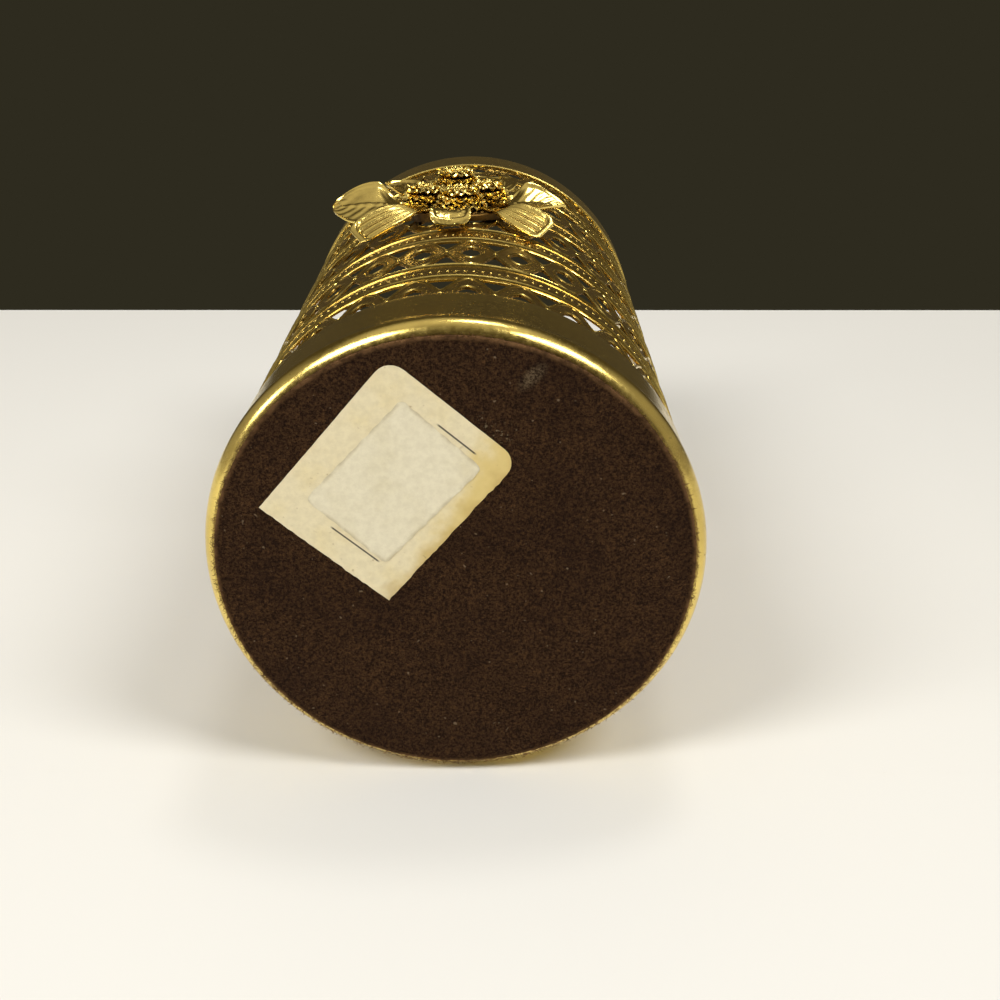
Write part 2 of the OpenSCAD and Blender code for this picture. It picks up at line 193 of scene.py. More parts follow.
pan = piece(pan, "pan", pan_gilt, "gilt_brass", "base_pan").data
# The bead is darkened towards the tarnish colour on its inner part, next to the felt.
bead_foot_darkening = [bead_foot_dark * (1 - soft(v.co.z / mm, 0.74, 1.15)) for v in pan.vertices]
pan.attributes.new("darkening", "FLOAT", "POINT").data.foreach_set("value", bead_foot_darkening)

# Felt pad
# A disc cut from brown wool felt and glued under the pan's floor, where some glue shows round its edge. Its short nap
# stands up unevenly, and loose fibres and a little lint lie on it.
felt_r, felt_face = 33.2, 0.2
label_at, label_turn = (-8.8, -12.6), math.radians(-49.5)
label_l, label_w, label_r = 28.0, 22.2, 2.6
tuft_scale, patch_scale, lint_scale, glue_scale, fleck_scale = 2700, 90, 1200, 700, 2400
felt_wool = bpy.data.materials.new("felt_wool")
felt_wool.use_nodes = True
tree = felt_wool.node_tree
shader = tree.nodes["Principled BSDF"]
place = add(tree, "TexCoord").outputs["Object"]
tuft = grain(tree, place, tuft_scale, 5, 0.85)
patch = grain(tree, place, patch_scale, 3, 0.6)
wool = blend_colour(tree, spread(tree, tuft, 0.38, 0.76), linear(26, 13, 6), linear(104, 73, 44))
wool = blend_colour(tree, spread(tree, patch, 0.4, 0.75, 0, 0.4), wool, linear(32, 17, 10))
radius = add(tree, "VectorMath", [(0, place)], operation="LENGTH").outputs["Value"]
glue = spread(tree, grain(tree, place, glue_scale), 0.35, 0.6, 0.35, 0.95)
glue = math_node(tree, "MULTIPLY", spread(tree, radius, (felt_r - 0.7) * mm, (felt_r - 0.1) * mm), glue)
wool = blend_colour(tree, glue, wool, linear(122, 90, 58))
lint = spread(tree, grain(tree, place, lint_scale, 1), 0.74, 0.8, 0, 0.8)
wool = blend_colour(tree, lint, wool, linear(128, 108, 84))
flecks = spread(tree, grain(tree, place, fleck_scale, 1), 0.62, 0.7)
smears = [((10.3, -27.8), -0.8, (3.2, 1.4), spread(tree, tuft, 0.4, 0.65)), ((5.6, -20.5), 0.6, (4.2, 2.2), flecks)]
for at, turn, size, fleck in smears:
    smear = add(tree, "Mapping", [("Vector", place), ("Location", [c * mm for c in (*at, 0)]),
                                  ("Rotation", (0, 0, turn)), ("Scale", [c * mm for c in (*size, 10)])],
                vector_type="TEXTURE").outputs[0]
    smear = add(tree, "VectorMath", [(0, smear)], operation="LENGTH").outputs["Value"]
    smear = math_node(tree, "MULTIPLY", spread(tree, smear, 0.2, 1, 0.75, 0), fleck)
    wool = blend_colour(tree, smear, wool, linear(128, 112, 86))
tree.links.new(wool, shader.inputs["Base Color"])
shader.inputs["Roughness"].default_value = 0.95
shader.inputs["Specular IOR Level"].default_value = 0.1
fuzz = add(tree, "Bump", [("Height", tuft), ("Strength", 1.0), ("Distance", 0.3 * mm)])
tree.links.new(fuzz.outputs[0], shader.inputs["Normal"])

felt_line = [(0, floor_low), (felt_r - 0.2, floor_low), (felt_r, 1.05), (felt_r, 0.45)]
felt_line += [(felt_r - 0.1, felt_face + 0.05)]
felt_line += [(r * 0.6, felt_face) for r in range(54, -1, -1)]
felt = turned(felt_line, 320)
for v in felt.verts:
    if v.co.z < (felt_face + 0.06) * mm:
        v.co.z += mm * (0.05 * noise.noise(v.co * 900) + 0.05 * noise.noise(v.co * 2600))
felt_piece = piece(felt, "felt", felt_wool, "felt", "felt_pad", sharp=180)

nap = random.Random(4)
fibre_rows, paper_gap = 104, 0.4
to_label = Matrix.Rotation(-label_turn, 3, "Z")
fibres = bmesh.new()
bmesh.ops.create_grid(fibres, x_segments=fibre_rows, y_segments=fibre_rows, size=1)
bmesh.ops.split_edges(fibres, edges=fibres.edges[:])
for i, hair in enumerate(fibres.faces):
    under_paper = True
    while under_paper:
        r = (felt_r - 0.1) * math.sqrt(nap.random()) if i % 4 else felt_r + nap.uniform(-0.5, 0.3)
        a = nap.uniform(0, math.tau)
        spot = Vector((r * math.cos(a), r * math.sin(a), 0))
        own = to_label @ (spot - Vector((*label_at, 0)))
        under_paper = abs(own.x) < label_l / 2 + paper_gap and abs(own.y) < label_w / 2 + paper_gap
    turn = Matrix.Rotation(nap.uniform(0, math.tau), 3, "Z") @ Matrix.Rotation(nap.gauss(0, 0.2), 3, "Y")
    half_l, half_w, lift = nap.uniform(0.2, 0.5), nap.uniform(0.02, 0.035), nap.uniform(0, 0.08)
    for v, (x, y) in zip(hair.verts, ((-1, -1), (1, -1), (1, 1), (-1, 1))):
        v.co = spot + turn @ Vector((x * half_l, y * half_w, 0)) + Vector((0, 0, felt_face - lift))
        v.co.z = min(max(v.co.z, 0.02), 0.3)
        v.co *= mm
piece(fibres, "felt_nap", felt_wool, "felt", sharp=180)

# Paper label
# A die-cut label of cream paper stuck on the felt, round at two corners. It is yellowed, stained along one long edge,
# and has two thin printed lines.
label_t, line_half, line_fade = 0.07, 0.09, 0.6
printed_lines = (11.0, -0.7, 6.3), (-10.0, -2.2, 6.5)
paper, given, out = new_group("paper_age", [("Paper", "Color"), ("Stain", "Color"), ("Amount", "Float")],
                              [("Color", "Color"), ("Height", "Float")])
place = add(paper, "TexCoord").outputs["Object"]
pulp = grain(paper, place, 900, 4, 0.65)
age = spread(paper, grain(paper, place, 130, 3, 0.6), 0.42, 0.75)
aged = blend_colour(paper, math_node(paper, "MULTIPLY", age, given["Amount"]), given["Paper"], given["Stain"])
aged = blend_colour(paper, spread(paper, pulp, 0.3, 0.7, 0, 0.16), aged, linear(150, 132, 96))
paper.links.new(aged, out["Color"])
paper.links.new(pulp, out["Height"])


def cut_paper(length, width, corner, rounded, cell):
    """A sheet in its own millimetres, with some round corners, cut to cells so that it can lie unevenly."""
    bm = bmesh.new()
    bmesh.ops.create_grid(bm, x_segments=1, y_segments=1, size=0.5, matrix=Matrix.Diagonal((length, width, 1, 1)))
    bmesh.ops.bevel(bm, geom=[v for v in bm.verts if rounded(v.co)], offset=corner, segments=6, profile=0.5,
                    affect="VERTICES", material=-1)
    for axis, span in (((1, 0, 0), length), ((0, 1, 0), width)):
        for i in range(1, int(span / cell)):
            bmesh.ops.bisect_plane(bm, geom=bm.verts[:] + bm.edges[:] + bm.faces[:], dist=1e-6,
                                   plane_co=[c * (cell * i - span / 2) for c in axis], plane_no=axis)
    return bm


def stick(bm, at, turn, thick):
    """Gives a sheet its thickness, away from the viewer, and puts it on the base."""
    bmesh.ops.recalc_face_normals(bm, faces=bm.faces)
    if bm.faces[0].normal.z > 0:
        bmesh.ops.reverse_faces(bm, faces=bm.faces[:])
    bmesh.ops.solidify(bm, geom=bm.faces[:], thickness=thick)
    place = Matrix.Scale(mm, 4) @ Matrix.Translation((*at, 0)) @ Matrix.Rotation(turn, 4, "Z")
    bmesh.ops.transform(bm, matrix=place, verts=bm.verts)


def paper_finish(name, tone, stain, amount):
    """Aged paper, with what is needed to stain or print on it."""
    mat = bpy.data.materials.new(name)
    mat.use_nodes = True
    tree = mat.node_tree
    aged = add(tree, "Group", node_tree=paper)
    for socket, value in (("Paper", tone), ("Stain", stain), ("Amount", amount)):
        aged.inputs[socket].default_value = value
    shader = tree.nodes["Principled BSDF"]
    shader.inputs["Roughness"].default_value = 0.72
    shader.inputs["Specular IOR Level"].default_value = 0.3
    tree.links.new(aged.outputs["Color"], shader.inputs["Base Color"])
    tooth = add(tree, "Bump", [("Height", aged.outputs["Height"]), ("Strength", 0.25), ("Distance", 0.05 * mm)])
    tree.links.new(tooth.outputs[0], shader.inputs["Normal"])
    return mat, tree, shader, aged.outputs["Color"]


def paper_axes(tree, at, turn):
    """A paper's own millimetres, with x along it."""
    place = add(tree, "TexCoord").outputs["Object"]
    own = add(tree, "Mapping", [("Vector", place), ("Location", (at[0] * mm, at[1] * mm, 0)),
                                ("Rotation", (0, 0, turn)), ("Scale", (mm, mm, mm))],
              vector_type="TEXTURE").outputs[0]
    return own, add(tree, "SeparateXYZ", [(0, own)]).outputs


label_paper, tree, shader, tone = paper_finish("label_paper", linear(234, 222, 186), linear(230, 211, 152), 0.5)
on_label, axes = paper_axes(tree, label_at, label_turn)
blot = grain(tree, on_label, 0.22, 3, 0.6)
corner = math_node(tree, "ADD", axes[1], math_node(tree, "MULTIPLY", axes[0], 0.25))
damp = math_node(tree, "ADD", corner, math_node(tree, "MULTIPLY", blot, 7.0))
tone = blend_colour(tree, spread(tree, damp, 10, 15.5, 0, 0.8), tone, linear(218, 192, 112))
damp = math_node(tree, "ADD", axes[1], math_node(tree, "MULTIPLY", grain(tree, on_label, 0.35, 2), 6.0))
tone = blend_colour(tree, spread(tree, damp, 12.2, 14.6, 0, 0.5), tone, linear(184, 154, 88))
foxing = spread(tree, grain(tree, on_label, 0.8, 2), 0.68, 0.78, 0, 0.55)
tone = blend_colour(tree, foxing, tone, linear(150, 122, 80))
for line_x, low, high in printed_lines:
    half = (high - low) / 2
    across = math_node(tree, "ABSOLUTE", math_node(tree, "SUBTRACT", axes[0], line_x))
    along = math_node(tree, "ABSOLUTE", math_node(tree, "SUBTRACT", axes[1], (low + high) / 2))
    ink = math_node(tree, "MULTIPLY", spread(tree, across, line_half, line_half + 0.06, 1, 0),
                    spread(tree, along, half - line_fade, half, 1, 0))
    tone = blend_colour(tree, math_node(tree, "MULTIPLY", ink, 0.9), tone, linear(52, 46, 40))
tree.links.new(tone, shader.inputs["Base Color"])

label = cut_paper(label_l, label_w, label_r, lambda corner: corner.x > 0, 0.7)
for v in label.verts:
    rough_cut = 0.16 if v.co.x < -label_l / 2 + 0.01 or v.co.y > label_w / 2 - 0.01 else 0.03
    ragged = [noise.noise(v.co * 1.7 + Vector((0, 0, layer))) for layer in (0.5, 9.5)]
    if v.is_boundary:
        v.co += Vector((*ragged, 0)) * rough_cut
    v.co.z = 0.1 + 0.03 * noise.noise(v.co * 0.25)
stick(label, label_at, label_turn, label_t)
piece(label, "label", label_paper, "label_paper", "paper_label")

# Price sticker
# A smaller sticker of white paper pressed on the label a little askew. Its edges are cut in small waves and have
# begun to lift.
sticker_at, sticker_turn = (-8.1, -12.7), math.radians(-46.8)
sticker_l, sticker_w, sticker_t = 19.6, 14.3, 0.03
edge_waves, edge_depth = 2.6, 0.06
sticker_paper, tree, shader, tone = paper_finish("sticker_paper", linear(234, 226, 199), linear(216, 205, 168), 0.6)
on_sticker, axes = paper_axes(tree, sticker_at, sticker_turn)
past = [math_node(tree, "SUBTRACT", math_node(tree, "ABSOLUTE", axis), half)
        for axis, half in zip(axes, (sticker_l / 2, sticker_w / 2))]
# The sticker darkens towards its edges: grime and a painted edge shadow.
edge_grime_and_shade = spread(tree, math_node(tree, "MAXIMUM", *past), -0.6, -0.05, 0, 0.4)
edge_grime_and_shade = math_node(tree, "MULTIPLY", edge_grime_and_shade, spread(tree, grain(tree, on_sticker, 0.5, 3), 0.3, 0.6))
tree.links.new(blend_colour(tree, edge_grime_and_shade, tone, linear(158, 138, 92)), shader.inputs["Base Color"])
sticker = cut_paper(sticker_l, sticker_w, 0.8, lambda corner: True, 0.5)
for v in sticker.verts:
    if v.is_boundary:
        v.co += Vector((math.sin(v.co.y * edge_waves), math.sin(v.co.x * edge_waves), 0)) * edge_depth
    v.co.z = 0.045 + 0.02 * noise.noise(v.co * 0.3)
stick(sticker, sticker_at, sticker_turn, sticker_t)
piece(sticker, "sticker", sticker_paper, "sticker_paper", "price_sticker")

# Pierced wall
# A brass sheet pierced and pressed with a traditional lattice of crossing waves, rolled to a tube and butted at the
# back. Eye-shaped and three-cornered openings sit between raised lines, and plain strips part the rows.
wall_r, repeats, pattern_turn = 34.1, 28, math.radians(2.7)
repeat_w = math.tau * wall_r / repeats
row_z, row_h, row_step, row_count = 8.9, 16.2, 22.4, 5
row_edge, rim_low = 1.5, 110.0
eye_half, ring_half, wave_h = (1.5, 2.6), (1.95, 3.2), 6.9
horn_half, horn_h = 2.1, 4.8
sheet_t, sheet_low, sheet_top, sheet_cuts = 0.3, 1.7, 119.0, 8
sheet_gilt = gilt("gilt_sheet", linear(200, 168, 87), linear(98, 68, 27), 0.8, 0.24, 0.25, darkening=True)
line_gilt = gilt("gilt_lines", gold, brown, 0.25, 0.17, 0.15)


def on_wall(s, z, out):
    """A point on the wall: s millimetres round it from the middle of an eye, z up it, and out above its face."""
    a = s / wall_r + pattern_turn
    return Vector(((wall_r + out) * math.sin(a), -(wall_r + out) * math.cos(a), z)) * mm


def round_the_wall(bm):
    """Repeats what is in bm all the way round the cup."""
    bmesh.ops.spin(bm, geom=bm.verts[:] + bm.edges[:] + bm.faces[:], axis=(0, 0, 1), use_duplicate=True,
                   angle=math.tau * (repeats - 1) / repeats, steps=repeats - 1)


def horn_line(base, way, grow=0):
    """A three-cornered opening with its flat side at base, between two eyes."""
    half, top = horn_half + grow, horn_h + 2 * grow
    flat = [(half * x, -grow) for x in (-1, -0.6, -0.2, 0.2, 0.6)]
    right = [(half * (1 - h) ** 0.8, (top + grow) * h - grow) for h in (i / 9 for i in range(9))]
    left = [(-x, h) for x, h in right[:0:-1]]
    return [(x + repeat_w / 2, base + way * h) for x, h in flat + right + [(0, top)] + left]


def horn_bases(low):
    """Where the horns of a row stand, and which way they point."""
    return (low + row_edge, 1), (low + row_h - row_edge, -1)


def eye_line(middle, half, points):
    """The outline of an eye, pointed at its top and foot."""
    turns = [math.tau * i / points for i in range(points)]
    return [(half[0] * math.sin(a) * abs(math.sin(a)) ** 0.35, middle + half[1] * math.cos(a)) for a in turns]


rows = [row_z + i * row_step for i in range(row_count)]
left_s = -1.6
right_s = left_s + repeat_w
pattern = bpy.data.curves.new("sheet", "CURVE")
pattern.dimensions, pattern.fill_mode, pattern.extrude = "2D", "BOTH", sheet_t / 2
loops = [[(left_s, sheet_low), (right_s, sheet_low), (right_s, sheet_top), (left_s, sheet_top)]]
for low in rows:
    middle = low + row_h / 2
    if pan_top - 1.2 < middle < rim_low + 1.2:
        loops.append(eye_line(middle, eye_half, 20))
    for base, way in horn_bases(low):
        if pan_top < base + way * horn_h / 2 < rim_low:
            loops.append(horn_line(base, way))
for loop in loops:
    line = pattern.splines.new("POLY")
    line.points.add(len(loop) - 1)
    line.points.foreach_set("co", [c for s, z in loop for c in (s, z, 0, 1)])
    line.use_cyclic_u = True
holder = bpy.data.objects.new("sheet", pattern)
flat_sheet = bpy.data.meshes.new_from_object(holder)
sheet = bmesh.new()
sheet.from_mesh(flat_sheet)
bpy.data.objects.remove(holder)
bpy.data.curves.remove(pattern)
bpy.data.meshes.remove(flat_sheet)
bmesh.ops.remove_doubles(sheet, verts=sheet.verts, dist=1e-4)
for i in range(1, sheet_cuts):
    bmesh.ops.bisect_plane(sheet, geom=sheet.verts[:] + sheet.edges[:] + sheet.faces[:], dist=1e-5,
                           plane_co=(left_s + repeat_w * i / sheet_cuts, 0, 0), plane_no=(1, 0, 0))
ends = [f for f in sheet.faces if any(all(abs(v.co.x - s) < 1e-4 for v in f.verts) for s in (left_s, right_s))]
bmesh.ops.delete(sheet, geom=ends, context="FACES_ONLY")
for v in sheet.verts:
    v.co = on_wall(v.co.x, v.co.y, v.co.z - sheet_t / 2)
round_the_wall(sheet)
bmesh.ops.remove_doubles(sheet, verts=sheet.verts, dist=3e-6)

seam_w = 0.15 * mm
seam_turn = Matrix.Rotation((repeats / 2 + 0.5) * math.tau / repeats + pattern_turn, 3, "Z")
to_seam, across = seam_turn @ Vector((0, -1, 0)), seam_turn @ Vector((1, 0, 0))


def near_seam(faces, reach):
    """The faces whose middles lie within reach of the seam."""
    middles = [(f, f.calc_center_median()) for f in faces]
    return [f for f, middle in middles if middle.dot(to_seam) > 0 and abs(middle.dot(across)) < reach]


for side in (seam_w / 2, -seam_w / 2):
    strip = near_seam(sheet.faces, 3 * mm)
    corners = {v for f in strip for v in f.verts}
    borders = {e for f in strip for e in f.edges}
    bmesh.ops.bisect_plane(sheet, geom=[*corners, *borders, *strip], dist=1e-7, plane_co=across * side, plane_no=across)
bmesh.ops.delete(sheet, geom=near_seam(sheet.faces, seam_w / 2), context="FACES")
bmesh.ops.holes_fill(sheet, edges=[e for e in sheet.edges if e.is_boundary])
bmesh.ops.recalc_face_normals(sheet, faces=sheet.faces)
wall_piece = piece(sheet, "wall", sheet_gilt, "gilt_brass", "filigree_wall", sharp=30)
mesh = wall_piece.data
round_normals = []
for face in mesh.polygons:
    for corner in face.vertices:
        outward = mesh.vertices[corner].co * Vector((1, 1, 0))
        outward.normalize()
        facing = face.normal.dot(outward)
        round_normals.append(outward * math.copysign(1, facing) if abs(facing) > 0.9 else face.normal)
mesh.normals_split_custom_set(round_normals)


def wire(bm, points, radius, closed=True, sides=1):
    """A round wire through points in metres, added to bm."""
    curve = bpy.data.curves.new("wire", "CURVE")
    curve.dimensions = "3D"
    curve.bevel_depth, curve.bevel_resolution, curve.use_fill_caps = radius * mm, sides, True
    line = curve.splines.new("POLY")
    line.points.add(len(points) - 1)
    line.points.foreach_set("co", [c for p in points for c in (*p, 1)])
    line.use_cyclic_u = closed
    holder = bpy.data.objects.new("wire", curve)
    mesh = bpy.data.meshes.new_from_object(holder)
    bm.from_mesh(mesh)
    bpy.data.objects.remove(holder)
    bpy.data.curves.remove(curve)
    bpy.data.meshes.remove(mesh)


wave_r, ring_r, horn_r, ridge_r, picot_r = 0.23, 0.24, 0.14, 0.35, 0.12
wave_steps, ridge_steps = 14, 6
waves = bmesh.new()
for low in rows:
    middle = low + row_h / 2
    for side in (1, -1):
        line = []
        for i in range(repeats * wave_steps):
            s = repeat_w * i / wave_steps
            line.append((s, middle + side * wave_h * math.cos(math.pi * s / repeat_w)))
        shown = [pan_top + 0.2 < z < rim_low - 0.2 for _, z in line]
        if all(shown):
            wire(waves, [on_wall(s, z, -0.08) for s, z in line], wave_r)
        else:
            start = shown.index(False)
            line, shown = line[start:] + line[:start], shown[start:] + shown[:start]
            run = []
            for point, seen in zip(line + line[:1], shown + [False]):
                if seen:
                    run.append(on_wall(*point, -0.08))
                else:
                    if len(run) > 1:
                        wire(waves, run, wave_r, closed=False)
                    run = []
piece(waves, "wall_waves", line_gilt, "gilt_brass")

rings = bmesh.new()
for low in rows:
    ring = eye_line(low + row_h / 2, ring_half, 22)
    shown = [pan_top + 0.25 < z < rim_low - 0.25 for _, z in ring]
    start = 0 if all(shown) else shown.index(False)
    ring = [point for point, seen in zip(ring[start:] + ring[:start], shown[start:] + shown[:start]) if seen]
    wire(rings, [on_wall(s, z, -0.1) for s, z in ring], ring_r, closed=all(shown))
round_the_wall(rings)
piece(rings, "wall_rings", line_gilt, "gilt_brass")

horns = bmesh.new()
for low in rows:
    for base, way in horn_bases(low):
        rim = horn_line(base, way, 0.2)
        if all(pan_top + 0.3 < z < rim_low - 0.3 for _, z in rim):
            wire(horns, [on_wall(s, z, -0.08) for s, z in rim], horn_r, sides=0)
round_the_wall(horns)
piece(horns, "wall_horns", line_gilt, "gilt_brass")

ridges = bmesh.new()
for low in rows:
    for z in (low, low + row_h):
        if pan_top + 0.4 < z < rim_low - 0.4:
            line = [on_wall(repeat_w * i / ridge_steps, z, 0) for i in range(ridge_steps * repeats)]
            wire(ridges, line, ridge_r, sides=2)
piece(ridges, "wall_ridges", line_gilt, "gilt_brass")

grains = bmesh.new()
bead_count, strip_up = 6, 3.1


def drop(bm, s, z, radius, flat=0.75):
    """A flattened bead on the wall."""
    spot = on_wall(s, z, 0)
    turn = Matrix.Rotation(s / wall_r + pattern_turn, 4, "Z")
    size = Matrix.Diagonal((radius * mm, radius * flat * mm, radius * mm, 1))
    place = Matrix.Translation(spot) @ turn @ size
    bmesh.ops.create_uvsphere(bm, u_segments=8, v_segments=5, radius=1, matrix=place)


for low in rows:
    strip = low + row_h + strip_up
    if strip < rim_low - 1:
        for k in range(bead_count):
            drop(grains, repeat_w * (k + 0.5) / bead_count, strip, 0.26, 0.5)
    if low + row_h / 2 > pan_top + 1:
        drop(grains, repeat_w / 2, low + row_h / 2, 0.5, 0.5)
round_the_wall(grains)
piece(grains, "wall_grains", line_gilt, "gilt_brass")

picots = bmesh.new()
picot_count, picot_half = 6, 0.42
picot = [(-picot_half, 0.1), (-picot_half, 0.6), (0, 1), (picot_half, 0.6), (picot_half, 0.1)]
for k in range(picot_count):
    s = repeat_w * (k + 0.5) / picot_count
    wire(picots, [on_wall(s + x, pan_top + up, -0.04) for x, up in picot], picot_r, closed=False)
round_the_wall(picots)
piece(picots, "wall_picots", line_gilt, "gilt_brass")

# Top rim
# A smooth gilt brass hoop of inverted U section, rolled from strip and pressed down over the wall's top edge, with its
# inner leg turned out to grip the sheet.
band_gilt = gilt("gilt_band", gold, brown, 0.45, 0.2, 0.15)
rim_in, rim_out, bend_z = 32.95, 34.65, 119.15
grip_in, grip_out, grip_top, hem_z = 33.45, 34.15, 119.1, 114.15
bend_r = (rim_out - rim_in) / 2
rim_line = [(rim_out, rim_low + 0.2), (rim_out, 113), (rim_out, 116)]
rim_line += arc((rim_out - bend_r, bend_z), bend_r, 0, 180, 18)
rim_line += [(rim_in, 116), (rim_in, hem_z), (grip_in, hem_z), (grip_in, grip_top), (grip_out, grip_top)]
rim_line += [(grip_out, rim_low), (rim_out - 0.2, rim_low)]
piece(turned(rim_line, 256, closed=True), "rim", band_gilt, "gilt_brass", "top_rim")

# Ornament pad
# A cast brass pad, flat in front and hollowed behind to the wall's curve, where the rivets hold it. Its face is
# granulated between what stands on it.
pad_front, pitch, pad_mid = 35.5, 7.25, (-1.2, 66.98)
pad_half, pad_back, pad_edge = (1.16 * pitch, 1.2 * pitch), 34.52, 0.3
grain_count, grain_r, golden_turn, collar_gap = 190, 0.42, 2.39996, 2.1
cast_gilt = gilt("gilt_cast", gold, linear(124, 93, 40), 0.25, 0.16, 0.25, darkening=True)


def on_pad(at, turn=0):
    """From a piece's own millimetres, with x along it and z away from the cup, to its place on the pad."""
    spot = Matrix.Translation((pad_mid[0] + at[0] * pitch, -pad_front, pad_mid[1] + at[1] * pitch))
    facing = Matrix.Rotation(math.radians(90), 4, "X") @ Matrix.Rotation(math.radians(turn), 4, "Z")
    return Matrix.Scale(mm, 4) @ spot @ facing


blossoms = {"a": ((-0.81, 0.04), 1.5), "b": ((0.06, -0.49), 1.9), "c": ((0.65, 0.3), 1.7), "d": ((-0.07, 0.75), 3.3)}
pad = bmesh.new()
bmesh.ops.create_circle(pad, cap_ends=True, segments=96, radius=1, matrix=Matrix.Diagonal((*pad_half, 1, 1)))
front = pad.faces[:]
bmesh.ops.transform(pad, matrix=on_pad((0, 0)), verts=pad.verts)
back = bmesh.ops.extrude_face_region(pad, geom=front)
for v in back["geom"]:
    if isinstance(v, bmesh.types.BMVert):
        v.co.y = -math.sqrt((pad_back * mm) ** 2 - v.co.x ** 2)
bmesh.ops.delete(pad, geom=front, context="FACES_ONLY")
bmesh.ops.contextual_create(pad, geom=[e for e in pad.edges if e.is_boundary])
bmesh.ops.recalc_face_normals(pad, faces=pad.faces)
edge = [e for e in pad.edges if all(abs(v.co.y + pad_front * mm) < 1e-6 for v in e.verts)]
bmesh.ops.bevel(pad, geom=edge, offset=pad_edge * mm, segments=3, profile=0.5, affect="EDGES", material=-1)
for i in range(grain_count):
    r, a = math.sqrt((i + 0.5) / grain_count), i * golden_turn
    x, y = 1.08 * pitch * r * math.cos(a), 1.12 * pitch * r * math.sin(a)
    if min(math.hypot(x - at[0] * pitch, y - at[1] * pitch) for at, _ in blossoms.values()) > collar_gap:
        size = grain_r + 0.12 * noise.noise(Vector((x, y, 0)))
        spot = on_pad((x / pitch, y / pitch)) @ Matrix.Diagonal((size, size, size * 0.7, 1))
        bmesh.ops.create_icosphere(pad, subdivisions=2, radius=1, matrix=spot)
# The pad's gilding is painted very dark all over: painted shade under the spray.
pad_shade_gilt = gilt("gilt_pad_shade", linear(104, 78, 38), linear(44, 30, 13), 0.8, 0.42, 0.4, darkening=True)
pad_piece = piece(pad, "pad", pad_shade_gilt, "gilt_brass", "ornament_plate")

# Rivets
# Two brass rivets go through the pad and one of the wall's plain strips and hold them together. Their domed heads lie
# on the pad and inside the cup.
rivet_x, rivet_z, wall_in = 3.7, 73.0, 33.5
head_r, head_h, shank_r = 1.5, 0.6, 0.9
inner_turns, outer_turns = [[math.radians(t) for t in turns] for turns in ((20, 40, 60, 80, 90), (15, 30, 50, 70))]
rivets = bmesh.new()
for x in (pad_mid[0] - rivet_x, pad_mid[0] + rivet_x):
    inside = math.sqrt(wall_in ** 2 - (abs(x) + head_r) ** 2) - head_h
    line = [(0, inside)] + [(head_r * math.sin(t), inside + head_h - head_h * math.cos(t)) for t in inner_turns]
    line += [(shank_r, inside + head_h + 0.02), (shank_r, pad_front), (head_r, pad_front)]
    line += [(head_r * math.cos(t), pad_front + head_h * math.sin(t)) for t in outer_turns] + [(0, pad_front + head_h)]
    shank = turned(line, 32)
    place = Matrix.Translation((x * mm, 0, rivet_z * mm)) @ Matrix.Rotation(math.radians(90), 4, "X")
    bmesh.ops.transform(shank, verts=shank.verts, matrix=place)
    scrap = bpy.data.meshes.new("rivet")
    shank.to_mesh(scrap)
    rivets.from_mesh(scrap)
    bpy.data.meshes.remove(scrap)
    shank.free()
rivet_piece = piece(rivets, "rivets", cast_gilt, "gilt_brass", "ornament_rivets")

# Leaves
# Cast leaves with flat feet soldered to the pad: pointed ones folded along the midrib, with fine veins and a raised
# edge, ribbed ones with blunt ends, and a blunt petal with a raised border that points at the foot.
foot_l, foot_w, leaf_t, leaf_edge = 0.4 * pitch, 1.8, 0.7, 0.1
spray = [pad_piece, rivet_piece]


def half_width(u, width, form):
    """Half a leaf's width at u, from 0 at its foot to 1 at its tip."""
    end = max(0, (u - 0.85) / 0.15)
    if form == "blunt":
        bulge = math.sin(math.pi / 2 * u ** 0.6) * (1 - 0.3 * end * end)
    elif form == "broad":
        bulge = max(0, math.sin(math.pi * u ** 0.9)) ** 0.65
    else:
        bulge = math.sin(math.pi * u ** 0.75)
    return foot_w / 2 * (1 - u) + width / 2 * bulge + 0.15 * u


def veined(u, t):
    """The relief of a pointed leaf: midrib, veins, hammered face and raised edge."""
    rib = 0.22 * math.exp(-(t / 0.05) ** 2) * (1 - u ** 4) * soft(u, 0, 0.2)
    vein = 0.04 * math.cos(math.tau * (7 * u - 2.2 * abs(t))) * soft(u, 0.1, 0.3) * (1 - abs(t) ** 4)
    hammer = 0.1 * noise.noise(Vector((u * 5, t * 2.4, 7)))
    return rib + vein + hammer * (1 - abs(t) ** 4) + 0.28 * soft(abs(t), 0.88, 0.96)


def to_edge(u, t):
    """0 in the middle of a blunt leaf, 1 all along its edge."""
    return (abs(t) ** 6 + soft(u, 0.45, 1) ** 6) ** (1 / 6)


def ribbed(u, t):
    """The relief of a ribbed leaf: four ribs in a scooped face, inside a raised edge."""
    rib = (0.2 + 0.2 * math.cos(4 * math.tau * (t + 1) / 2)) * (1 - soft(to_edge(u, t), 0.84, 0.92))
    scoop = 0.3 * (1 - t * t) * soft(u, 0.2, 0.6) * (1 - soft(u, 0.8, 1))
    return (rib - scoop + 0.42 * soft(to_edge(u, t), 0.9, 0.96)) * soft(u, 0, 0.2)


def bordered(u, t):
    """The relief of the blunt petal: an uneven face inside a raised border."""
    return 0.28 * soft(to_edge(u, t), 0.74, 0.86) * soft(u, 0, 0.2) + 0.1 * noise.noise(Vector((u * 14, t * 7, 3)))


